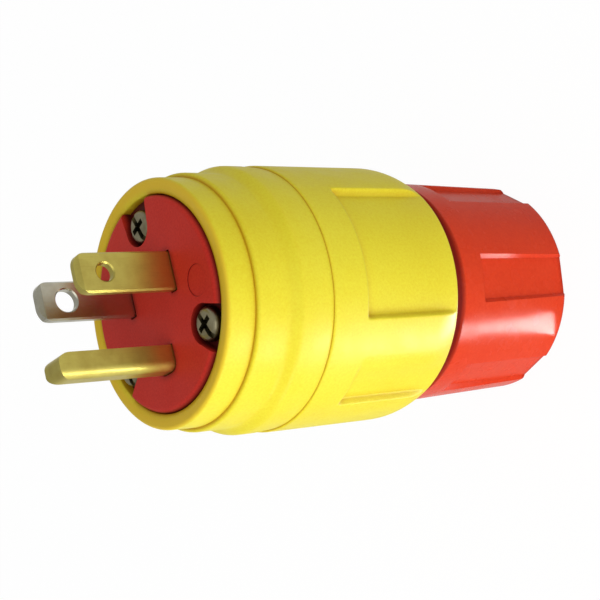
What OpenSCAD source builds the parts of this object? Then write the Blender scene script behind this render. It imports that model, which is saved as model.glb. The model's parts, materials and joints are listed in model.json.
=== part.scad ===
// Straight-blade grounded wiring plug with an elastomer body and a cord compression nut.
// Z runs along the plug, from the nut's rear face at z = 0 towards the blades.
// X runs across the two flat blades, and the ground pin lies on the -Y side.

/* [Elastomer body] */
// Length of the body, rear face to front rim
body_len = 46.2; // [42:0.1:52]
// Diameter over the grip
grip_d = 44; // [39:0.1:50]
// Depth of the first band below the grip, at the nose
nose_drop = 2.15; // [1.8:0.05:2.4]
// Depth of the second band below the grip
band_2_drop = 1.35; // [1:0.05:1.6]
// Depth of the third band below the grip
band_3_drop = 0.15; // [0.1:0.05:0.8]
// Distance from the rim to the first step
step_1_at = 5.5; // [4.4:0.1:6.4]
// Distance from the rim to the sloping shoulder
shoulder_at = 10.5; // [9:0.1:12]
// Length of the sloping shoulder
shoulder_len = 2.8; // [1.5:0.1:4]
// Distance from the rim to the second step
step_2_at = 18.7; // [17:0.1:21]
// Distance from the rim to the front end of the grip panels
panel_at = 25.4; // [23:0.1:29]
// Depth of the grip panels
panel_depth = 1.15; // [0.4:0.05:1.5]
// Angle spanned by each wide grip panel
wide_panel_deg = 62.5; // [40:0.5:70]
// Angle spanned by each narrow grip panel
narrow_panel_deg = 34.5; // [20:0.5:50]
// Length over which the grip rounds down at the rear
rear_round_len = 5; // [3:0.1:8]

/* [Rigid shell] */
// Thickness of the elastomer over the rigid shell, at the grip
sleeve_wall = 3.4; // [3:0.1:3.8]
// Wall of the rigid shell
shell_wall = 2.2; // [1.5:0.1:2.6]
// Thickness of the shell's rear wall
shell_floor = 3; // [2:0.1:5]
// Diameter of the threaded neck, at the thread root
neck_d = 29.2; // [27:0.1:29.8]
// Diameter of the neck's bore
neck_bore_d = 22; // [20.5:0.1:23]
// Diameter of the boss round each assembly screw
boss_d = 6; // [5.8:0.1:6.4]

/* [Contact insert] */
// Width of the shell's edge outside the insert's face
shell_ledge = 1.45; // [1.2:0.05:1.6]
// Height of the face above the body's rim
face_proud = 0.25; // [0.1:0.05:1.5]
// Height of the insert's head, shoulder to face
head_h = 6.15; // [5:0.05:8]
// Length of the skirt behind the head
skirt_len = 12.5; // [10:0.1:14]
// Rounding of the face's edge
face_edge_r = 0.9; // [0.3:0.1:1.2]

/* [Blades] */
// Distance between the centres of the two flat blades
blade_spacing = 12.7; // [12.5:0.05:13]
// Offset of the flat blades from the plug's axis
blade_y = 3.15; // [2.5:0.05:3.5]
// Distance from the flat blades to the ground pin
ground_offset = 12.1; // [11.8:0.05:12.3]
// Width of a flat blade
blade_w = 6.35; // [6:0.05:6.6]
// Thickness of a flat blade
blade_t = 1.5; // [1.4:0.05:1.65]
// Length of a flat blade in front of the face
blade_len = 16.8; // [15.9:0.1:18.3]
// Diameter of the hole near the line blade's tip
line_hole_d = 2.9; // [2.6:0.1:4.4]
// Diameter of the hole near the neutral blade's tip
neutral_hole_d = 3.7; // [2.6:0.1:4.4]
// Distance from the face to a blade's hole
blade_hole_at = 11.8; // [11:0.1:12.5]
// Width of the ground pin
ground_w = 4.8; // [4.6:0.05:5]
// Depth of the ground pin's channel section
ground_h = 3.95; // [3.6:0.05:4.8]
// Metal thickness of the ground pin
ground_t = 1.2; // [0.8:0.05:1.5]
// Length of the ground pin in front of the face
ground_len = 19.8; // [19:0.1:22]

/* [Screws and terminals] */
// Distance from the face screws' circle to the edge of the insert
screw_edge = 3.65; // [3.5:0.05:3.9]
// Offset of the screw circle from the plug's axis
screw_circle_y = -0.5; // [-0.6:0.05:0]
// Diameter of a face screw's head
screw_head_d = 5.4; // [4.6:0.1:5.6]
// Height of a face screw's head
screw_head_h = 1.8; // [1.2:0.1:2]
// Thread diameter of a face screw
screw_d = 3.5; // [3:0.1:3.6]
// Depth of the head's counterbore below the face
counterbore_depth = 2; // [1.8:0.1:3]
// Thread diameter of a terminal screw
terminal_screw_d = 3.5; // [3:0.1:4]
// Head diameter of a terminal screw
terminal_head_d = 6.4; // [5.6:0.1:6.6]
// Thickness of a terminal's clamp plate
clamp_plate_t = 1.2; // [0.8:0.1:1.5]

/* [Cord nut and grip] */
// Length of the compression nut
nut_len = 28.9; // [27:0.1:32]
// Diameter of the nut's front collar
nut_d = 38.8; // [37.6:0.1:40]
// Diameter of the nut at its rear end
nut_rear_d = 37.6; // [36.8:0.1:38.4]
// Distance from the nut's rear face to the end of its finger grooves
groove_len = 22.3; // [16:0.1:24]
// Distance from the axis to the flat floor of a groove, at the rear
groove_floor_r = 17.8; // [16.8:0.1:18.2]
// Number of finger grooves
groove_count = 6; // [4:1:8]
// Diameter of the nut's bore, at the thread root
nut_bore_d = 30.8; // [30.4:0.1:31.4]
// Diameter of the cord hole in the nut's rear wall
cord_hole_d = 18; // [16:0.1:19]
// Thickness of the nut's rear wall
nut_wall = 5; // [4:0.1:6]
// Diameter of the cord passage through the grommet
grommet_bore_d = 13.2; // [9:0.1:15]
// Thickness of the thrust washer
washer_t = 1.2; // [0.8:0.1:2]

/* [Clearances] */
// Gap between the nut's front lip and the body, nut fully home
nut_gap = 0.3; // [0.3:0.05:0.6]
// Gap round a contact in its slot in the insert
slot_gap = 0.15; // [0.1:0.05:0.3]
// Radial gap round the insert
insert_gap = 0.15; // [0.1:0.05:0.3]
// Gap between pieces that slide on or turn against each other
slide_gap = 0.1; // [0.05:0.05:0.3]
// Radial gap round loose pieces inside the nut
loose_gap = 0.3; // [0.3:0.05:0.5]

/* [Hidden] */
$fn = 96;
eps = 0.02;
far = 60;
over = 1;

// Levels along the plug
body_rear_z = nut_len + nut_gap;
rim_z = body_rear_z + body_len;
face_z = rim_z + face_proud;
head_z = face_z - head_h;
gasket_t = 1;
shell_front_z = head_z - gasket_t;
skirt_z = head_z - skirt_len;
rear_lip_t = 2.4;
shell_rear_z = body_rear_z + rear_lip_t;
cavity_z = shell_rear_z + shell_floor;
collar_h = 1.2;
counterbore_z = face_z - counterbore_depth;

// Radii of the body and shell
grip_r = grip_d / 2;
nose_r = grip_r - nose_drop;
band_2_r = grip_r - band_2_drop;
band_3_r = grip_r - band_3_drop;
shell_r = grip_r - sleeve_wall;
shell_bore_r = shell_r - shell_wall;
insert_r = shell_r - shell_ledge;
lip_r = insert_r + insert_gap;
skirt_r = shell_bore_r - insert_gap;
neck_r = neck_d / 2;
neck_bore_r = neck_bore_d / 2;
panel_r = grip_r - panel_depth;
panel_turn = 2.75;
panel_slope_deg = 1.6;

// Grip of the cord
neck_end_gap = 1.8;
washer_z = nut_wall + slide_gap;
ring_z = washer_z + washer_t + slide_gap;
neck_end_z = ring_z + neck_end_gap;
ring_len = 6.5;
grommet_z = ring_z + ring_len;
seat_t = 2;
seat_z = shell_rear_z - seat_t;
seat_step = 2.5;
seat_r = neck_bore_r - seat_step;
grommet_r = neck_bore_r - slide_gap;
grommet_bore_r = grommet_bore_d / 2;

// Contacts
slot_w = blade_w + 2 * slot_gap;
slot_t = blade_t + 2 * slot_gap;
ground_y = blade_y - ground_offset;
web_y = ground_y - ground_w / 2;
ground_room = 5.05;
tab_y = ground_room - shell_bore_r;
shoulder_step = 1.2;
shoulder_w = blade_w + 2 * shoulder_step;
shoulder_h = 2;
barrier_t = 2.4;
barrier_z = skirt_z - barrier_t;
tab_len = 11;
tab_end_z = barrier_z - tab_len;
terminal_z = (barrier_z + tab_end_z) / 2;
screw_circle_r = insert_r - screw_edge;
barrier_gap = 0.4;
barrier_r = screw_circle_r + screw_circle_y - boss_d / 2 - barrier_gap;
barrier_screw_d = 2.2;
barrier_head_d = 3.6;
barrier_head_h = 1.3;
barrier_screw_edge = 4.25;
barrier_screw_x = skirt_r - barrier_screw_edge;
barrier_screw_y = -0.5;
barrier_wall_y = -3.9;
terminal_head_h = 2.2;

// Nut
nut_r = nut_d / 2;
nut_rear_r = nut_rear_d / 2;
nut_bore_r = nut_bore_d / 2;
nut_lip_r = nut_r - 1.8;
nut_lip_h = 2.5;
nut_round = 0.9;
groove_turn = -12.6;
groove_half_w = 3.2;
groove_lean = 0.9;
groove_ramp = 1.6;

function arc(cx, cy, r, a0, a1, n) =
    [for (i = [0:n]) let (a = a0 + (a1 - a0) * i / n) [cx + r * cos(a), cy + r * sin(a)]];

// Radius of the large arc that brings the grip down to the panel floor at the rear
tail_drop = 1.15;
tail_edge = 0.6;
tail_arc_r = (rear_round_len * rear_round_len + tail_drop * tail_drop) / (2 * tail_drop);
tail_arc_deg = asin(rear_round_len / tail_arc_r);
tail_z = body_rear_z + tail_edge;

// Outline of the elastomer body, rim to rear, as [radius, z]
rim_round = 0.6;
rim_arc_deg = 75;
step_run = 0.45;
function body_outline() = concat(
    [[lip_r, rim_z], [lip_r + 1.15, rim_z], [lip_r + 1.3, rim_z - 0.12]],
    arc(nose_r - rim_round, rim_z - rim_round - 0.1, rim_round, rim_arc_deg, 0, 8),
    [[nose_r + 0.05, rim_z - step_1_at],
     [band_2_r - 0.1, rim_z - step_1_at - step_run],
     [band_2_r, rim_z - step_1_at - 2 * step_run],
     [band_2_r, rim_z - shoulder_at],
     [(band_2_r + band_3_r) / 2 + 0.1, rim_z - shoulder_at - shoulder_len / 2],
     [band_3_r - 0.1, rim_z - shoulder_at - shoulder_len * 0.85],
     [band_3_r, rim_z - shoulder_at - shoulder_len - 0.4],
     [band_3_r - 0.05, rim_z - step_2_at + step_run],
     [band_3_r - 0.2, rim_z - step_2_at],
     [grip_r - 0.08, rim_z - step_2_at - 0.25],
     [grip_r, rim_z - step_2_at - step_run]],
    arc(grip_r - tail_arc_r, tail_z + rear_round_len, tail_arc_r, 0, -tail_arc_deg, 8),
    arc(grip_r - tail_drop - tail_edge, tail_z, tail_edge, 0, -90, 4));

// Plan of one grip panel, with its side walls leaning outwards
module panel_plan(span) {
    inner = span / 2 - panel_slope_deg;
    lead = 4;
    p_in = panel_r * [cos(inner), sin(inner)];
    p_out = grip_r * [cos(span / 2), sin(span / 2)];
    p_far = p_in + lead * (p_out - p_in);
    difference() {
        polygon([[0, 0], p_in, p_far, [far, p_far[1]], [far, -p_far[1]],
                 [p_far[0], -p_far[1]], [p_in[0], -p_in[1]]]);
        circle(r = panel_r);
    }
}

// Sleeve of yellow elastomer moulded round the rigid shell
module outer_body() {
    color("gold")
    difference() {
        rotate_extrude()
            polygon(concat(body_outline(),
                [[neck_r + 2.1, body_rear_z], [neck_r + 2.1, shell_rear_z],
                 [shell_r, shell_rear_z], [shell_r, head_z], [lip_r, head_z]]));
        for (turn = [0, 180]) {
            translate([0, 0, body_rear_z - 1])
                linear_extrude(body_len - panel_at + 1)
                    rotate(panel_turn + turn) panel_plan(wide_panel_deg);
            translate([0, 0, body_rear_z - 1])
                linear_extrude(body_len - panel_at + 1)
                    rotate(panel_turn + 90 + turn) panel_plan(narrow_panel_deg);
        }
    }
}

module at_screws() {
    for (a = [90, 210, 330])
        translate([0, screw_circle_y, 0]) rotate(a) translate([screw_circle_r, 0, 0]) children();
}

// Rigid shell with the screw bosses inside and the threaded neck behind
boss_end_z = skirt_z - 1;
module inner_shell() {
    color("firebrick")
    difference() {
        union() {
            rotate_extrude()
                polygon([[seat_r, cavity_z], [shell_bore_r, cavity_z],
                    [shell_bore_r, shell_front_z], [shell_r, shell_front_z],
                    [shell_r, shell_rear_z], [neck_r + 2, shell_rear_z],
                    [neck_r + 2, body_rear_z], [neck_r, body_rear_z], [neck_r, neck_end_z + 1],
                    [neck_r - 1, neck_end_z], [neck_bore_r, neck_end_z],
                    [neck_bore_r, seat_z], [seat_r, seat_z]]);
            intersection() {
                at_screws()
                    translate([0, 0, cavity_z - eps]) {
                        cylinder(d = boss_d, h = boss_end_z - cavity_z + eps);
                        translate([0, -boss_d / 2, 0])
                            cube([boss_d, boss_d, boss_end_z - cavity_z + eps]);
                    }
                translate([0, 0, cavity_z - 1])
                    cylinder(r = shell_bore_r + shell_wall / 2, h = body_len);
            }
        }
        at_screws() {
            translate([0, 0, boss_end_z - insert_nut_len])
                cylinder(d = insert_nut_d, h = insert_nut_len + 1);
            translate([0, 0, screw_tip_z - 1])
                cylinder(d = screw_d + 0.4, h = boss_end_z - screw_tip_z);
        }
    }
}

// Brass threaded inserts in the ends of the bosses
insert_nut_d = 4.6;
insert_nut_len = 7;
screw_tip_z = boss_end_z - insert_nut_len - 2;
module boss_inserts() {
    color("darkgoldenrod")
    at_screws()
        translate([0, 0, boss_end_z - insert_nut_len])
            difference() {
                cylinder(d = insert_nut_d, h = insert_nut_len);
                translate([0, 0, -1]) cylinder(d = screw_d, h = insert_nut_len + 2);
            }
}

// Outline of the hole for a flat blade
module blade_slot(w, h) {
    for (side = [-1, 1])
        translate([side * blade_spacing / 2 - slot_t / 2, blade_y - w / 2, 0])
            cube([slot_t, w, h]);
}

// Section of the ground pin: a channel with a round-cornered web on the -Y side
ground_corner_r = 1.5;
module ground_section(grow) {
    translate([0, web_y]) {
        difference() {
            union() {
                for (side = [-1, 1])
                    translate([side * (ground_w / 2 - ground_corner_r), ground_corner_r])
                        circle(r = ground_corner_r + grow);
                translate([-ground_w / 2 - grow, ground_corner_r])
                    square([ground_w + 2 * grow, ground_h - ground_corner_r + grow]);
                translate([ground_corner_r - ground_w / 2, -grow])
                    square([ground_w - 2 * ground_corner_r, ground_h]);
            }
            translate([ground_t - ground_w / 2 + grow, ground_t + grow])
                square([ground_w - 2 * ground_t - 2 * grow, ground_h + grow]);
        }
    }
}

// Notch that opens a counterbore out through the insert's edge
counterbore_d = screw_head_d + 1;
notch_out_w = 8.2;
module counterbore() {
    notch_reach = screw_edge - screw_circle_y + over;
    translate([0, 0, counterbore_z]) {
        cylinder(d = counterbore_d, h = counterbore_depth + 1);
        linear_extrude(counterbore_depth + 1)
            polygon([[0, -counterbore_d / 2], [notch_reach, -notch_out_w / 2],
                     [notch_reach, notch_out_w / 2], [0, counterbore_d / 2]]);
    }
    translate([0, 0, skirt_z - 1])
        cylinder(d = screw_d + 0.4, h = face_z - skirt_z);
}

// Moulded insert that carries the contacts
mark_d = 5;
mark_depth = 0.12;
mark_edge = 4.45;
mark_at = [insert_r - mark_edge, -0.6];
module contact_insert() {
    color("brown")
    difference() {
        rotate_extrude()
            polygon(concat(
                [[0, skirt_z], [skirt_r, skirt_z], [skirt_r, head_z], [insert_r, head_z]],
                arc(insert_r - face_edge_r, face_z - face_edge_r, face_edge_r, 0, 90, 6),
                [[0, face_z]]));
        translate([0, 0, skirt_z - 1]) {
            blade_slot(slot_w, far);
            blade_slot(shoulder_w + 2 * slot_gap, shoulder_h + slot_gap + 1);
            linear_extrude(far) ground_section(slot_gap);
            translate([-foot_w / 2 - slot_gap, foot_y - slot_gap, 0])
                cube([foot_w + 2 * slot_gap, foot_t + 2 * slot_gap, shoulder_h + slot_gap + 1]);
        }
        at_screws() counterbore();
        translate([mark_at[0], mark_at[1], face_z - mark_depth])
            cylinder(d = mark_d, h = 1);
        for (side = [-1, 1])
            translate([side * barrier_screw_x, barrier_screw_y, skirt_z - 1])
                cylinder(d = barrier_screw_d, h = barrier_pilot + 1);
    }
}

// Flat sealing ring between the insert's head and the shell
module face_gasket() {
    color("dimgray")
    translate([0, 0, shell_front_z])
        difference() {
            cylinder(r = shell_r - 0.05, h = gasket_t);
            translate([0, 0, -1]) cylinder(r = shell_bore_r, h = gasket_t + 2);
        }
}

// Combination recess of a screw head: a cross and a slot across the head
module drive_recess(head_d, head_h) {
    cross_l = head_d * 0.6;
    cross_w = head_d * 0.17;
    depth = head_h * 0.6;
    translate([0, 0, head_h - depth]) {
        for (a = [0, 90])
            rotate(a) translate([-cross_l / 2, -cross_w / 2, 0]) cube([cross_l, cross_w, head_h]);
        translate([-head_d, -cross_w / 2, depth * 0.45]) cube([2 * head_d, cross_w, head_h]);
    }
}

// Pan-head screw standing on z = 0, with its thread below
module pan_screw(thread_d, thread_len, head_d, head_h) {
    edge = head_h * 0.55;
    difference() {
        rotate_extrude()
            polygon(concat([[0, -thread_len], [thread_d / 2 - 0.4, -thread_len],
                [thread_d / 2, -thread_len + 0.6], [thread_d / 2, 0], [head_d / 2, 0]],
                arc(head_d / 2 - edge, head_h - edge, edge, 0, 90, 6), [[0, head_h]]));
        drive_recess(head_d, head_h);
    }
}

// Three assembly screws in the face
screw_drive_turn = [20, -35, 65];
module face_screws() {
    color("silver")
    for (i = [0:2])
        translate([0, screw_circle_y, 0])
            rotate([90, 330, 210][i]) translate([screw_circle_r, 0, counterbore_z])
                rotate(screw_drive_turn[i])
                    pan_screw(screw_d, counterbore_z - screw_tip_z, screw_head_d, screw_head_h);
}

// Flat blade with chamfered long edges, a bevelled round-cornered tip and a hole near it.
// It stands on the plug's axis, with its thickness along X.
blade_chamfer = 0.3;
blade_tip_r = 2.2;
tip_bevel = 0.3;
tip_bevel_len = 1;
hole_chamfer = 0.2;
module flat_blade(hole_d) {
    tip_z = face_z + blade_len;
    half_t = blade_t / 2;
    half_w = blade_w / 2;
    difference() {
        union() {
            intersection() {
                translate([0, 0, tab_end_z])
                    linear_extrude(tip_z - tab_end_z)
                        polygon([[-half_t, blade_chamfer - half_w],
                            [blade_chamfer - half_t, -half_w], [half_t - blade_chamfer, -half_w],
                            [half_t, blade_chamfer - half_w], [half_t, half_w - blade_chamfer],
                            [half_t - blade_chamfer, half_w], [blade_chamfer - half_t, half_w],
                            [-half_t, half_w - blade_chamfer]]);
                rotate([90, 0, 90])
                    translate([0, 0, -blade_t])
                        linear_extrude(2 * blade_t)
                            polygon(concat([[-blade_w, tab_end_z], [blade_w, tab_end_z],
                                [blade_w, tip_z - blade_w], [half_w, tip_z - blade_w]],
                                arc(half_w - blade_tip_r, tip_z - blade_tip_r,
                                    blade_tip_r, 0, 90, 8),
                                arc(blade_tip_r - half_w, tip_z - blade_tip_r,
                                    blade_tip_r, 90, 180, 8),
                                [[-half_w, tip_z - blade_w], [-blade_w, tip_z - blade_w]]));
                rotate([90, 0, 0])
                    translate([0, 0, -blade_w])
                        linear_extrude(2 * blade_w)
                            polygon([[-blade_t, tab_end_z], [blade_t, tab_end_z],
                                [blade_t, tip_z - blade_w], [half_t, tip_z - blade_w],
                                [half_t, tip_z - tip_bevel_len], [half_t - tip_bevel, tip_z],
                                [tip_bevel - half_t, tip_z], [-half_t, tip_z - tip_bevel_len],
                                [-half_t, tip_z - blade_w], [-blade_t, tip_z - blade_w]]);
            }
            translate([-half_t, -shoulder_w / 2, skirt_z])
                cube([blade_t, shoulder_w, shoulder_h]);
        }
        translate([0, 0, face_z + blade_hole_at]) rotate([0, 90, 0])
            rotate_extrude()
                polygon([[0, -blade_t], [hole_d / 2 + hole_chamfer, -blade_t],
                    [hole_d / 2 + hole_chamfer, -half_t], [hole_d / 2, hole_chamfer - half_t],
                    [hole_d / 2, half_t - hole_chamfer], [hole_d / 2 + hole_chamfer, half_t],
                    [hole_d / 2 + hole_chamfer, blade_t], [0, blade_t]]);
        translate([0, 0, terminal_z]) rotate([0, 90, 0])
            cylinder(d = terminal_screw_d, h = 2 * blade_t, center = true);
    }
}

module line_blade() {
    color("goldenrod")
    translate([blade_spacing / 2, blade_y, 0]) flat_blade(line_hole_d);
}

module neutral_blade() {
    color("silver")
    translate([-blade_spacing / 2, blade_y, 0]) flat_blade(neutral_hole_d);
}

// Ground pin: a folded brass channel with a blunt round nose, a foot that the barrier
// traps, and behind it a flat tab at a set distance from the shell
ground_nose_len = 2;
ground_nose_r = 1.5;
foot_w = ground_w + 2;
foot_y = min(web_y, tab_y);
foot_t = abs(web_y - tab_y) + ground_t;
module ground_pin() {
    tip_z = face_z + ground_len;
    top_y = web_y + ground_h;
    nose_z = tip_z - ground_nose_len;
    nose_w = ground_w - ground_t;
    color("goldenrod")
    difference() {
        union() {
            intersection() {
                union() {
                    translate([0, 0, skirt_z]) linear_extrude(tip_z - skirt_z) ground_section(0);
                    translate([-nose_w / 2, web_y + ground_t / 2, nose_z])
                        cube([nose_w, ground_h - ground_t / 2, ground_nose_len]);
                }
                rotate([90, 0, 90])
                    translate([0, 0, -ground_w])
                        linear_extrude(2 * ground_w)
                            polygon(concat(
                                [[web_y - over, skirt_z - over], [top_y + over, skirt_z - over],
                                 [top_y + over, nose_z], [top_y, nose_z]],
                                [for (i = [1:8]) let (a = i * 90 / 8)
                                    [top_y - ground_nose_r + ground_nose_r * cos(a),
                                     nose_z + ground_nose_len * sin(a)]],
                                [for (i = [0:7]) let (a = 90 - i * 90 / 8)
                                    [web_y + ground_nose_r - ground_nose_r * cos(a),
                                     nose_z + ground_nose_len * sin(a)]],
                                [[web_y, nose_z], [web_y - over, nose_z]]));
            }
            translate([-foot_w / 2, foot_y, skirt_z])
                cube([foot_w, foot_t, shoulder_h]);
            translate([-ground_w / 2, tab_y, tab_end_z])
                cube([ground_w, ground_t, skirt_z - tab_end_z + eps]);
        }
        translate([0, tab_y - over, terminal_z]) rotate([-90, 0, 0])
            cylinder(d = terminal_screw_d, h = ground_t + 2 * over);
    }
}

// Plate that traps the contacts' shoulders, with walls between the three terminals
barrier_pilot = 7;
barrier_wall_w = 15;
wall_t = 1.4;
module terminal_barrier() {
    color("firebrick")
    difference() {
        union() {
            translate([0, 0, barrier_z]) cylinder(r = skirt_r - barrier_gap, h = barrier_t);
            translate([-wall_t / 2, barrier_wall_y, tab_end_z])
                cube([wall_t, barrier_r - barrier_wall_y, barrier_z - tab_end_z + eps]);
            translate([-barrier_wall_w / 2, barrier_wall_y - wall_t / 2, tab_end_z])
                cube([barrier_wall_w, wall_t, barrier_z - tab_end_z + eps]);
        }
        translate([0, 0, barrier_z - over]) {
            blade_slot(slot_w, barrier_t + 2 * over);
            translate([-ground_w / 2 - slot_gap, tab_y - slot_gap, 0])
                cube([ground_w + 2 * slot_gap, ground_t + 2 * slot_gap, barrier_t + 2 * over]);
            at_screws() {
                cylinder(d = boss_d + 2 * loose_gap, h = barrier_t + 2 * over);
                translate([0, -boss_d / 2 - loose_gap, 0])
                    cube([boss_d, boss_d + 2 * loose_gap, barrier_t + 2 * over]);
            }
            for (side = [-1, 1])
                translate([side * barrier_screw_x, barrier_screw_y, 0])
                    cylinder(d = barrier_screw_d, h = barrier_t + 2 * over);
        }
    }
}

// Two small screws that hold the barrier to the insert
module barrier_screws() {
    color("silver")
    for (side = [-1, 1])
        translate([side * barrier_screw_x, barrier_screw_y, barrier_z]) rotate([180, 0, 0])
            pan_screw(barrier_screw_d, barrier_t + barrier_pilot - over,
                      barrier_head_d, barrier_head_h);
}

// Screw and clamp plate of one terminal, on the +X side of a tab whose face is at x = 0
plate_w = 6.6;
plate_h = 6.8;
module terminal_screw() {
    translate([clamp_plate_t, 0, terminal_z]) rotate([0, 90, 0])
        pan_screw(terminal_screw_d, clamp_plate_t + blade_t + 1.8, terminal_head_d, terminal_head_h);
}

module clamp_plate() {
    difference() {
        translate([0, -plate_w / 2, terminal_z - plate_h / 2])
            cube([clamp_plate_t, plate_w, plate_h]);
        translate([-1, 0, terminal_z]) rotate([0, 90, 0])
            cylinder(d = terminal_screw_d, h = clamp_plate_t + 2);
    }
}

module at_line() {
    translate([blade_spacing / 2 + blade_t / 2, blade_y, 0]) children();
}

module at_neutral() {
    translate([-blade_spacing / 2 - blade_t / 2, blade_y, 0]) rotate(180) children();
}

module at_ground() {
    translate([0, tab_y, 0]) rotate(-90) children();
}

module line_terminal_screw() {
    color("goldenrod") at_line() terminal_screw();
}

module neutral_terminal_screw() {
    color("silver") at_neutral() terminal_screw();
}

module ground_terminal_screw() {
    color("seagreen") at_ground() terminal_screw();
}

module line_clamp_plate() {
    color("goldenrod") at_line() clamp_plate();
}

module neutral_clamp_plate() {
    color("silver") at_neutral() clamp_plate();
}

module ground_clamp_plate() {
    color("goldenrod") at_ground() clamp_plate();
}

// Rubber bush that closes on the cord
grommet_taper = 5;
grommet_step = 2.2;
module cord_grommet() {
    color("dimgray")
    rotate_extrude()
        polygon([[grommet_bore_r, grommet_z], [grommet_r - grommet_step, grommet_z],
            [grommet_r, grommet_z + grommet_taper], [grommet_r, seat_z],
            [grommet_bore_r, seat_z]]);
}

// Split ring that the nut drives onto the grommet
ring_slot_w = 1.2;
module clamp_ring() {
    color("whitesmoke")
    difference() {
        rotate_extrude()
            polygon([[cord_hole_d / 2, ring_z], [grommet_r, ring_z],
                [grommet_r, grommet_z], [grommet_r - 0.8, grommet_z],
                [cord_hole_d / 2, grommet_z - 1.2]]);
        for (a = [0:60:300])
            rotate(a) translate([0, -ring_slot_w / 2, ring_z + 1.6])
                cube([nut_r, ring_slot_w, ring_len]);
    }
}

// Flat washer that lets the nut turn without twisting the ring
module thrust_washer() {
    color("lightgray")
    translate([0, 0, washer_z])
        difference() {
            cylinder(r = nut_bore_r - loose_gap, h = washer_t);
            translate([0, 0, -1]) cylinder(d = cord_hole_d, h = washer_t + 2);
        }
}

// Finger groove cut into the nut from its rear end, on the +X side
module finger_groove() {
    top = nut_r + 1;
    lean = groove_half_w + groove_lean * (top - groove_floor_r);
    intersection() {
        translate([0, 0, -1])
            linear_extrude(groove_len + 1)
                polygon([[groove_floor_r, -groove_half_w], [top, -lean],
                         [top, lean], [groove_floor_r, groove_half_w]]);
        translate([0, 2 * lean, 0])
            rotate([90, 0, 0])
                linear_extrude(4 * lean)
                    polygon([[groove_floor_r, -2], [top + 1, -2], [top + 1, groove_len + 1],
                             [nut_r + 0.5, groove_len], [groove_floor_r + 0.3, groove_len - groove_ramp]]);
    }
}

// Compression nut with six finger grooves
module compression_nut() {
    color("orangered")
    difference() {
        rotate_extrude()
            polygon(concat(
                [[cord_hole_d / 2 + 1, 0]],
                arc(nut_rear_r - nut_round, nut_round, nut_round, -90, 0, 6),
                [[nut_r, groove_len + 0.5], [nut_r, nut_len - nut_lip_h],
                 [nut_lip_r, nut_len], [nut_bore_r + 0.6, nut_len],
                 [nut_bore_r, nut_len - 0.6], [nut_bore_r, nut_wall],
                 [cord_hole_d / 2, nut_wall], [cord_hole_d / 2, 1]]));
        for (i = [0:groove_count - 1])
            rotate(groove_turn + i * 360 / groove_count) finger_groove();
    }
}

outer_body();
inner_shell();
contact_insert();
face_gasket();
face_screws();
boss_inserts();
line_blade();
neutral_blade();
ground_pin();
terminal_barrier();
barrier_screws();
line_terminal_screw();
neutral_terminal_screw();
ground_terminal_screw();
line_clamp_plate();
neutral_clamp_plate();
ground_clamp_plate();
cord_grommet();
clamp_ring();
thrust_washer();
compression_nut();
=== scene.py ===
import json
import math

import bmesh
import bpy
from mathutils import Matrix, Vector

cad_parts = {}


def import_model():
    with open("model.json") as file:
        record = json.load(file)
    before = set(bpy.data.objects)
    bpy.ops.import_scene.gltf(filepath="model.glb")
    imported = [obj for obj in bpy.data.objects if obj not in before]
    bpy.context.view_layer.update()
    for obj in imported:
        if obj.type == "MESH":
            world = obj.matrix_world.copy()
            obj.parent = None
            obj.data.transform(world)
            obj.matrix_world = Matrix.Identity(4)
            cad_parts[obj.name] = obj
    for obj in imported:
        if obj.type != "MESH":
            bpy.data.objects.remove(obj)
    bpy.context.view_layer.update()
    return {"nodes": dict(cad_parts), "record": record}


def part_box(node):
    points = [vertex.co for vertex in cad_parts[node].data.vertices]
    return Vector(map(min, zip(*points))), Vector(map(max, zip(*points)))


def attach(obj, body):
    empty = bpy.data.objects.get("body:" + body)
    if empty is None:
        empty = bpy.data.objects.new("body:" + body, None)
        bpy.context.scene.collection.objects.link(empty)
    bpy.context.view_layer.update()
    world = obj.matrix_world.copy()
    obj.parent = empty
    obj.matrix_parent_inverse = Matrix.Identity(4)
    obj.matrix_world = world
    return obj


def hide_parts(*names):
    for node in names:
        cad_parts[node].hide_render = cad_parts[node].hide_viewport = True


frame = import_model()
NODES = frame["nodes"]
MM = 0.001


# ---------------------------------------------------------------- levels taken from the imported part
def low(node):
    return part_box(node)[0]


def high(node):
    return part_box(node)[1]


FACE_Z = high("contact_insert").z
BODY_REAR_Z = low("outer_body").z
NECK_END_Z = low("inner_shell").z
NUT_FRONT_Z = high("compression_nut").z


# ---------------------------------------------------------------- camera
def aim_camera():
    """Camera at the three-quarter front view, with the plug's axis lying across the picture."""
    target = Vector((-0.15, -0.47, 46.4)) * MM
    azimuth, elevation = math.radians(-17.67), math.radians(38.39)
    distance, roll = 235.9 * MM, math.radians(92.91)
    back = Vector((math.cos(azimuth) * math.cos(elevation),
                   math.sin(azimuth) * math.cos(elevation), math.sin(elevation)))
    upright = (Vector((0, 0, 1)) - back * back.z).normalized()
    side = (-back).cross(upright)
    up = upright * math.cos(roll) + side * math.sin(roll)
    right = (-back).cross(up)
    data = bpy.data.cameras.new("camera")
    data.lens, data.sensor_width = 83.4, 36
    data.clip_start, data.clip_end = 0.005, 20
    cam = bpy.data.objects.new("camera", data)
    cam.matrix_world = Matrix((
        (right.x, up.x, back.x, target.x + back.x * distance),
        (right.y, up.y, back.y, target.y + back.y * distance),
        (right.z, up.z, back.z, target.z + back.z * distance),
        (0, 0, 0, 1)))
    bpy.context.scene.collection.objects.link(cam)
    bpy.context.scene.camera = cam


# ---------------------------------------------------------------- materials
def linear(r, g, b):
    """A colour written as 0 to 255 display values, as linear light."""
    return tuple(((c / 255 + 0.055) / 1.055) ** 2.4 if c > 10 else c / 255 / 12.92
                 for c in (r, g, b)) + (1.0,)


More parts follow.
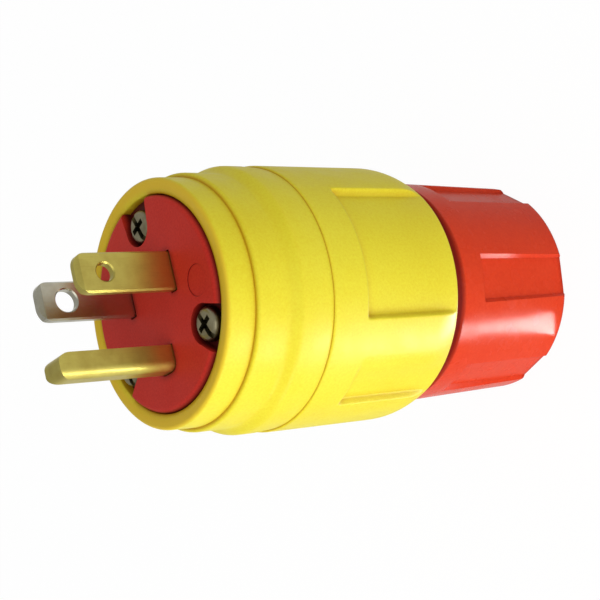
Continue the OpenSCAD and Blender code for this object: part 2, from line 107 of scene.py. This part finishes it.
class Nodes:
    """Short calls to build one node material."""

    def __init__(self, name):
        self.material = bpy.data.materials.new(name)
        self.material.use_nodes = True
        self.tree = self.material.node_tree
        self.shader = self.tree.nodes["Principled BSDF"]
        self.place = self.tree.nodes.new("ShaderNodeTexCoord").outputs["Object"]

    def add(self, kind, **settings):
        node = self.tree.nodes.new(kind)
        for key, value in settings.items():
            setattr(node, key, value)
        return node

    def link(self, a, b):
        self.tree.links.new(a, b)

    def scaled(self, x, y, z):
        node = self.add("ShaderNodeMapping")
        node.inputs["Scale"].default_value = (x, y, z)
        self.link(self.place, node.inputs["Vector"])
        return node.outputs["Vector"]

    def noise(self, size_mm, detail=2.0, rough=0.5, vector=None):
        node = self.add("ShaderNodeTexNoise")
        node.inputs["Scale"].default_value = 1 / (size_mm * MM)
        node.inputs["Detail"].default_value = detail
        node.inputs["Roughness"].default_value = rough
        self.link(vector or self.place, node.inputs["Vector"])
        return node.outputs["Fac"]

    def ramp(self, value, *stops):
        node = self.add("ShaderNodeValToRGB")
        band = node.color_ramp
        while len(band.elements) < len(stops):
            band.elements.new(0.5)
        for element, (at, colour) in zip(band.elements, stops):
            element.position = at
            element.color = colour
        self.link(value, node.inputs["Fac"])
        return node.outputs["Color"]

    def spread(self, value, lo, hi, out_lo, out_hi):
        node = self.add("ShaderNodeMapRange")
        for key, number in (("From Min", lo), ("From Max", hi), ("To Min", out_lo), ("To Max", out_hi)):
            node.inputs[key].default_value = number
        self.link(value, node.inputs["Value"])
        return node.outputs["Result"]

    def mix(self, share, a, b):
        node = self.add("ShaderNodeMix", data_type="RGBA")
        for socket, value in ((node.inputs[0], share), (node.inputs[6], a), (node.inputs[7], b)):
            if hasattr(value, "is_output"):
                self.link(value, socket)
            else:
                socket.default_value = value
        return node.outputs[2]

    def below(self, top, depth, share):
        """share under the level top - depth, falling to nothing at the level top."""
        split = self.add("ShaderNodeSeparateXYZ")
        self.link(self.place, split.inputs[0])
        return self.spread(split.outputs["Z"], top - depth, top, share, 0.0)

    def creases(self, reach_mm, share):
        """share of painted shade in tight inside corners, falling to nothing on open surfaces."""
        node = self.add("ShaderNodeAmbientOcclusion", samples=12)
        node.inputs["Distance"].default_value = reach_mm * MM
        return self.spread(node.outputs["AO"], 0.55, 0.95, share, 0.0)

    def bump(self, height, depth_mm, strength=1.0, under=None):
        node = self.add("ShaderNodeBump")
        node.inputs["Distance"].default_value = depth_mm * MM
        node.inputs["Strength"].default_value = strength
        self.link(height, node.inputs["Height"])
        if under:
            self.link(under, node.inputs["Normal"])
        return node.outputs["Normal"]

    def done(self, colour, roughness, normal, **fixed):
        for key, value in (("Base Color", colour), ("Roughness", roughness), ("Normal", normal)):
            self.link(value, self.shader.inputs[key])
        for key, value in fixed.items():
            self.shader.inputs[key.replace("_", " ")].default_value = value
        return self.material


def moulded(name, base, deep, pale, rough, grain_mm, grain_depth, painted_shade=None, crease=None, **fixed):
    """Moulded plastic or rubber: slow drift of the colour, a fine spark grain and patchy gloss.
    The argument after grain_depth gives the level, depth and colour of a band of painted shade, full at
    the level minus the depth and none at the level; crease is the reach in mm, the share and the colour
    of painted shade in inside corners."""
    n = Nodes(name)
    drift = n.ramp(n.noise(22, 3), (0.32, deep), (0.5, base), (0.7, pale))
    speck = n.noise(grain_mm, 4, 0.65)
    tint = n.mix(n.spread(speck, 0.3, 0.7, 0.0, 1.0), n.mix(0.6, drift, deep), n.mix(0.6, drift, pale))
    # Painted shade: a band of darker colour laid over the surface by height.
    if painted_shade:
        level, depth, dark = painted_shade
        tint = n.mix(n.below(level, depth, 0.9), tint, dark)
    # Painted shade: darker colour in inside corners, from an occlusion mask.
    if crease:
        reach, share, dark = crease
        tint = n.mix(n.creases(reach, share), tint, dark)
    gloss = n.spread(n.noise(3.5, 3), 0.3, 0.7, rough - 0.05, rough + 0.06)
    grain = n.bump(speck, grain_depth)
    wave = n.bump(n.noise(7, 2), 0.05, 0.5, grain)
    return n.done(tint, gloss, wave, **fixed)


def plated(name, base, worn, rough, drawn=True, painted_shade=None):
    """Stamped and plated metal: tarnish clouds, small scratches and, if drawn, lines along Z.
    The last argument gives the level, depth and colour of a band of painted shade, full at the level
    minus the depth and none at the level."""
    n = Nodes(name)
    lines = n.noise(0.22, 4, 0.6, n.scaled(1, 1, 0.06 if drawn else 1))
    cloud = n.noise(4.5, 4, 0.6)
    colour = n.mix(n.spread(cloud, 0.42, 0.68, 0.0, 0.6), base, worn)
    colour = n.mix(n.spread(lines, 0.55, 0.8, 0.0, 0.35), colour, worn)
    # Painted shade: a band of darker colour laid over the metal by height.
    if painted_shade:
        level, depth, dark = painted_shade
        colour = n.mix(n.below(level, depth, 0.85), colour, dark)
    patchy = n.spread(cloud, 0.3, 0.7, rough - 0.03, rough + 0.05)
    hand = n.bump(n.noise(1.6, 3), 0.008, 0.6, n.bump(lines, 0.006))
    return n.done(colour, patchy, hand, Metallic=1.0)


MATERIALS = {
    # Yellow: painted shade with a painted orange reflection of the red face on the front rim, and painted
    # shade in the step creases.
    "yellow_elastomer": moulded("yellow_elastomer", linear(249, 233, 52), linear(240, 217, 36),
                                linear(253, 241, 68), 0.42, 0.4, 0.02,
                                (FACE_Z - 0.75 * MM, -0.4 * MM, linear(250, 208, 52)),
                                (2.0, 0.85, linear(196, 134, 10)), Specular_IOR_Level=0.2),
    "red_shell": moulded("red_shell", linear(196, 44, 30), linear(176, 36, 26), linear(208, 56, 40),
                         0.45, 0.5, 0.015, Specular_IOR_Level=0.3),
    # Red insert: painted shade in the screw recesses, notches and edge gap below the face, and in inside
    # corners.
    "red_insert": moulded("red_insert", linear(218, 48, 34), linear(204, 36, 26), linear(230, 62, 46),
                          0.45, 0.35, 0.012, (FACE_Z - 0.2 * MM, 1.3 * MM, linear(58, 14, 12)),
                          (1.5, 0.6, linear(80, 18, 16)), Specular_IOR_Level=0.2),
    # Red nut: painted shade on the front collar and its bevel, and in inside corners.
    "red_nut": moulded("red_nut", linear(231, 66, 30), linear(223, 56, 24), linear(237, 76, 40),
                       0.25, 0.5, 0.003, (NUT_FRONT_Z - 2.9 * MM, -0.9 * MM, linear(112, 16, 14)),
                       (1.2, 0.5, linear(150, 26, 14)), Specular_IOR_Level=0.1),
    "black_rubber": moulded("black_rubber", linear(38, 37, 36), linear(26, 26, 26), linear(56, 55, 53),
                            0.62, 0.35, 0.03),
    "brass": plated("brass", linear(212, 198, 102), linear(180, 158, 75), 0.36),
    "nickel_blade": plated("nickel_blade", linear(206, 204, 186), linear(166, 158, 134), 0.24),
    # Nickel screws: painted shade below the face level, on the slot floors and the low edges of the face
    # screws' heads.
    "nickel_screw": plated("nickel_screw", linear(176, 168, 136), linear(104, 94, 66), 0.34, False,
                           (FACE_Z - 0.35 * MM, 0.9 * MM, linear(44, 38, 24))),
    "green_screw": plated("green_screw", linear(44, 120, 66), linear(28, 84, 46), 0.34, False),
    "white_nylon": moulded("white_nylon", linear(226, 223, 212), linear(214, 209, 194),
                           linear(234, 231, 222), 0.48, 0.4, 0.012),
    "washer_steel": plated("washer_steel", linear(180, 180, 178), linear(128, 126, 122), 0.3, False),
}


def dress_nodes():
    """Every solid gets the node material of its record slot."""
    for part in frame["record"]["subparts"]:
        obj = NODES[part["node"]]
        if not obj.material_slots:
            obj.data.materials.append(None)
        for s in obj.material_slots:
            s.material = MATERIALS[part["material_slot"]]


# ---------------------------------------------------------------- elastomer body
# Each recess: its upper edge and that wall's width, then its lower edge and that wall's width,
# in degrees from +X. An upper wall as wide as 18 is a slope that fades out.
GRIP_PANELS = ((34.0, 1.9, -28.5, 1.9), (-44.0, 18.0, -72.0, 1.9),
               (214.0, 1.9, 151.5, 1.9), (136.0, 18.0, 108.0, 1.9))
PANEL_RAMP = 1.1       # length of the slope at a recess's front end, mm
PANEL_DEPTH = 1.15     # mm
PANEL_FROM_RIM = 25.1  # mm
REAR_EDGE = 0.6        # radius of the small arc at the rear edge, mm
WALL_STATIONS = (-0.3, 0, 0.15, 0.32, 0.5, 0.68, 0.85, 1, 1.3)


def smooth(x):
    x = min(max(x, 0.0), 1.0)
    return x * x * (3 - 2 * x)


def bend(cx, cz, radius, start, end, count):
    """Points of an arc in the plane of radius and height, in mm."""
    out = []
    for i in range(count + 1):
        a = math.radians(start + (end - start) * i / count)
        out.append((cx + radius * math.cos(a), cz + radius * math.sin(a)))
    return out


def rise(r0, r1, z0, z1, count):
    """A step out to a larger radius, with a sharp crease at its foot and a rounded edge."""
    turns = [math.pi / 2 * i / count for i in range(count + 1)]
    return [(r0 + (r1 - r0) * math.sin(t), z0 + (z1 - z0) * (1 - math.cos(t))) for t in turns]


def body_profile(rim, rear, grip):
    """Section of the sleeve in mm, from its inner lip over the outside to the inside again."""
    nose, second, third = grip - 2.15, grip - 1.35, grip - 0.15
    lip, shell, neck = 17.3, 18.6, 16.7
    seat, back = rim - 5.9, rear + 2.4
    points = [(lip, seat), (lip, rim - 0.6), (lip + 0.12, rim - 0.42), (lip + 0.9, rim - 0.16),
              (lip + 1.5, rim - 0.03)]
    points += bend(nose - 0.7, rim - 0.7, 0.7, 88, 0, 8)
    points += [(nose + 0.02, rim - 2.6)] + rise(nose + 0.04, second, rim - 4.85, rim - 5.4, 7)
    points += [(second, rim - 7.5)]
    points += [(second + (third - second) * smooth(i / 10), rim - 10.3 - 0.26 * i) for i in range(11)]
    points += [(third, rim - 15.5)] + rise(third - 0.2, grip, rim - 18.5, rim - 19.0, 7)
    front = rim - PANEL_FROM_RIM
    points += [(grip, front + 3), (grip, front + 0.3)]
    points += [(grip, front - PANEL_RAMP * i / 8) for i in range(9)]
    points += [(grip, front - PANEL_RAMP - 0.3), (grip, front - 5), (grip, front - 9), (grip, rear + 7.5)]
    # Rear rounding: a long arc that drops to the recesses' floor, then a small one.
    drop, length, edge = PANEL_DEPTH, 5.0, REAR_EDGE
    big = (length * length + drop * drop) / (2 * drop)
    points += bend(grip - big, rear + edge + length, big, 0, -math.degrees(math.asin(length / big)), 10)
    points += bend(grip - drop - edge, rear + edge, edge, 0, -90, 5)[1:]
    points += [(neck, rear), (neck, back), (shell, back), (shell, seat)]
    return points


def body_angles():
    """Angles round the axis in degrees, closer together at the walls of the panels."""
    fine = []
    for top, top_wall, bottom, bottom_wall in GRIP_PANELS:
        for edge, wall in ((top, -top_wall), (bottom, bottom_wall)):
            fine += [edge + wall * t for t in WALL_STATIONS if abs(wall) < 5 or t >= 0]
    fine = [a % 360 for a in fine]
    plain = [3.0 * i for i in range(120)]
    plain = [a for a in plain if min(abs((a - f + 180) % 360 - 180) for f in fine) > 0.6]
    return sorted(fine + plain)


def panel_share(angle, z, front):
    """1 on the floor of a grip panel, 0 outside it and between the two on its walls."""
    share = 0.0
    for top, top_wall, bottom, bottom_wall in GRIP_PANELS:
        half = (top - bottom) / 2
        off = (angle - (top + bottom) / 2 + 180) % 360 - 180
        share = max(share, smooth((half - off) / top_wall) * smooth((half + off) / bottom_wall))
    return share * smooth((front - z) / PANEL_RAMP)


def add_body():
    """The yellow sleeve, with stepped bands and four recessed grip panels."""
    rim, rear = high("outer_body").z / MM, BODY_REAR_Z / MM
    grip = high("outer_body").x / MM
    front = rim - PANEL_FROM_RIM
    profile, angles = body_profile(rim, rear, grip), body_angles()
    bm = bmesh.new()
    rings = []
    for index, (r0, z) in enumerate(profile):
        ring = []
        outside = index < len(profile) - 4
        for angle in angles:
            share = panel_share(angle, z, front) if outside else 0.0
            radius = r0 - share * max(0.0, r0 - (grip - PANEL_DEPTH))
            a = math.radians(angle)
            ring.append(bm.verts.new((radius * MM * math.cos(a), radius * MM * math.sin(a), z * MM)))
        rings.append(ring)
    for i, ring in enumerate(rings):
        above = rings[(i + 1) % len(rings)]
        for j in range(len(angles)):
            k = (j + 1) % len(angles)
            bm.faces.new((ring[j], ring[k], above[k], above[j]))
    bmesh.ops.recalc_face_normals(bm, faces=bm.faces)
    mesh = bpy.data.meshes.new("body_sleeve")
    bm.to_mesh(mesh)
    bm.free()
    for face in mesh.polygons:
        face.use_smooth = True
    mesh.set_sharp_from_angle(angle=math.radians(40))
    # The corner where the two arcs of the rear rounding meet stays crisp.
    corner = min(range(len(profile)), key=lambda i: abs(profile[i][1] - rear - REAR_EDGE))
    for edge in mesh.edges:
        if all(v // len(angles) == corner for v in edge.vertices):
            edge.use_edge_sharp = True
    mesh.materials.append(MATERIALS["yellow_elastomer"])
    obj = bpy.data.objects.new("body_sleeve", mesh)
    bpy.context.scene.collection.objects.link(obj)
    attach(obj, "plug")
    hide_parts("outer_body")


# ---------------------------------------------------------------- threads
PITCH = 3.0 * MM


def thread(name, body, slot, root_r, crest_r, z_low, z_high):
    """A right-hand trapezoid thread on a cylinder of root_r, fading out at both ends."""
    steps = 72
    half_root, half_crest = 0.78 * MM, 0.26 * MM
    turns = (z_high - z_low - 2 * half_root) / PITCH
    count = int(turns * steps)
    bury = math.copysign(0.12 * MM, root_r - crest_r)
    bm = bmesh.new()
    rings = []
    for i in range(count + 1):
        a = 2 * math.pi * i / steps
        z = z_low + half_root + PITCH * i / steps
        fade = min(1.0, i / (steps * 0.25), (count - i) / (steps * 0.25))
        crest = root_r + (crest_r - root_r) * fade
        ring = []
        for r, dz in ((root_r + bury, -half_root), (root_r, -half_root), (crest, -half_crest),
                      (crest, half_crest), (root_r, half_root), (root_r + bury, half_root)):
            ring.append(bm.verts.new((r * math.cos(a), r * math.sin(a), z + dz)))
        rings.append(ring)
    for a, b in zip(rings, rings[1:]):
        for j in range(6):
            k = (j + 1) % 6
            bm.faces.new((a[j], a[k], b[k], b[j]))
    bm.faces.new(rings[0])
    bm.faces.new(rings[-1])
    bmesh.ops.recalc_face_normals(bm, faces=bm.faces)
    mesh = bpy.data.meshes.new(name)
    bm.to_mesh(mesh)
    bm.free()
    mesh.materials.append(MATERIALS[slot])
    obj = bpy.data.objects.new(name, mesh)
    bpy.context.scene.collection.objects.link(obj)
    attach(obj, body)


def add_threads():
    neck_root = 14.6 * MM
    nut_root = 15.4 * MM
    base = NECK_END_Z + 1.2 * MM
    thread("neck_thread", "plug", "red_shell", neck_root, 15.22 * MM, base, BODY_REAR_Z - 0.5 * MM)
    # The nut's thread lies half a pitch from the neck's, so the two mesh without touching.
    first = base + PITCH / 2
    thread("nut_thread", "nut", "red_nut", nut_root, 14.78 * MM, first, NUT_FRONT_Z - 1.2 * MM)


# ---------------------------------------------------------------- stage
FLOOR_GLOSS_SHARE = 0.4
FLOOR_WHITE_SHARE = 0.92


def combine(tree, operation, a, b):
    """Math node of a socket and another socket or a number."""
    node = tree.nodes.new("ShaderNodeMath")
    node.operation = operation
    tree.links.new(a, node.inputs[0])
    if hasattr(b, "is_output"):
        tree.links.new(b, node.inputs[1])
    else:
        node.inputs[1].default_value = b
    return node.outputs[0]


def blend_to_white(tree, share, plain, white, target):
    """The target shows plain, and white by share."""
    mixed = tree.nodes.new("ShaderNodeMixShader")
    tree.links.new(share, mixed.inputs[0])
    tree.links.new(plain, mixed.inputs[1])
    tree.links.new(white, mixed.inputs[2])
    tree.links.new(mixed.outputs[0], target)


def floor():
    size = 3.0
    mesh = bpy.data.meshes.new("floor")
    mesh.from_pydata([(-size, -size, 0), (size, -size, 0), (size, size, 0), (-size, size, 0)], [],
                     [(0, 1, 2, 3)])
    obj = bpy.data.objects.new("floor", mesh)
    obj.location = (0, 0, -0.05 * MM)
    bpy.context.scene.collection.objects.link(obj)
    mat = bpy.data.materials.new("floor")
    mat.use_nodes = True
    tree = mat.node_tree
    shader = tree.nodes["Principled BSDF"]
    shader.inputs["Base Color"].default_value = (0.86, 0.86, 0.86, 1)
    shader.inputs["Roughness"].default_value = 0.9
    shader.inputs["Specular IOR Level"].default_value = 0.1
    glow = tree.nodes.new("ShaderNodeEmission")
    glow.inputs["Strength"].default_value = 1.04
    rays = tree.nodes.new("ShaderNodeLightPath").outputs
    mirrored = combine(tree, "MULTIPLY", rays["Is Glossy Ray"], FLOOR_GLOSS_SHARE)
    seen = combine(tree, "MAXIMUM", rays["Is Camera Ray"], mirrored)
    seen = combine(tree, "MAXIMUM", seen, rays["Is Transmission Ray"])
    share = combine(tree, "MULTIPLY", seen, FLOOR_WHITE_SHARE)
    blend_to_white(tree, share, shader.outputs[0], glow.outputs[0],
                   tree.nodes["Material Output"].inputs["Surface"])
    mesh.materials.append(mat)


def world():
    made = bpy.data.worlds.new("world")
    made.use_nodes = True
    tree = made.node_tree
    sky = tree.nodes["Background"]
    white = tree.nodes.new("ShaderNodeBackground")
    for node, strength in ((sky, 0.42), (white, 1.0)):
        node.inputs["Color"].default_value = (1, 1, 1, 1)
        node.inputs["Strength"].default_value = strength
    rays = tree.nodes.new("ShaderNodeLightPath").outputs
    seen = combine(tree, "MAXIMUM", rays["Is Camera Ray"], rays["Is Transmission Ray"])
    blend_to_white(tree, seen, sky.outputs[0], white.outputs[0],
                   tree.nodes["World Output"].inputs["Surface"])
    bpy.context.scene.world = made


def panel_light(name, centre, facing, across, size, size_across, radiance, gloss_only=False):
    """A soft box of even radiance. across is the direction of its second side."""
    z = Vector(facing).normalized()
    y = Vector(across)
    y = (y - z * y.dot(z)).normalized()
    x = y.cross(z)
    data = bpy.data.lights.new(name, "AREA")
    data.shape = "RECTANGLE"
    data.size, data.size_y = size, size_across
    data.energy = radiance * math.pi * size * size_across
    obj = bpy.data.objects.new(name, data)
    obj.matrix_world = Matrix(((x.x, y.x, -z.x, centre[0]), (x.y, y.y, -z.y, centre[1]),
                               (x.z, y.z, -z.z, centre[2]), (0, 0, 0, 1)))
    obj.visible_camera = False
    obj.visible_diffuse = not gloss_only
    bpy.context.scene.collection.objects.link(obj)


def around(azimuth):
    a = math.radians(azimuth)
    return Vector((math.cos(a), math.sin(a), 0))


def lights():
    up = Vector((0, 0, 1))
    # Wide low box beside the plug: it lights the sides and grazes the face.
    side = around(-66)
    panel_light("key", side * 0.42 + up * 0.037, -side, up, 0.6, 0.074, 8.2)
    # Strips that lie on the floor and give the long highlights of the nut and grip.
    spot = around(-40) * 19.2 * MM
    out = around(-62)
    for name, start, end, width, radiance in (("near_strip", 1, 22, 5, 30), ("mid_strip", 22, 50, 9, 26),
                                              ("far_strip", 50, 130, 20, 16)):
        middle = spot + out * (start + end) / 2 * MM + up * 0.5 * MM
        panel_light(name, middle, up, out, width * MM, (end - start) * MM, radiance, gloss_only=True)
    # Weak box above and in front.
    front = (around(-30) + up * 0.9).normalized()
    panel_light("front_fill", front * 0.8, -front, up, 0.6, 0.6, 1.0)


aim_camera()
dress_nodes()
add_body()
add_threads()
floor()
world()
lights()
bpy.context.scene.view_settings.view_transform = "Standard"
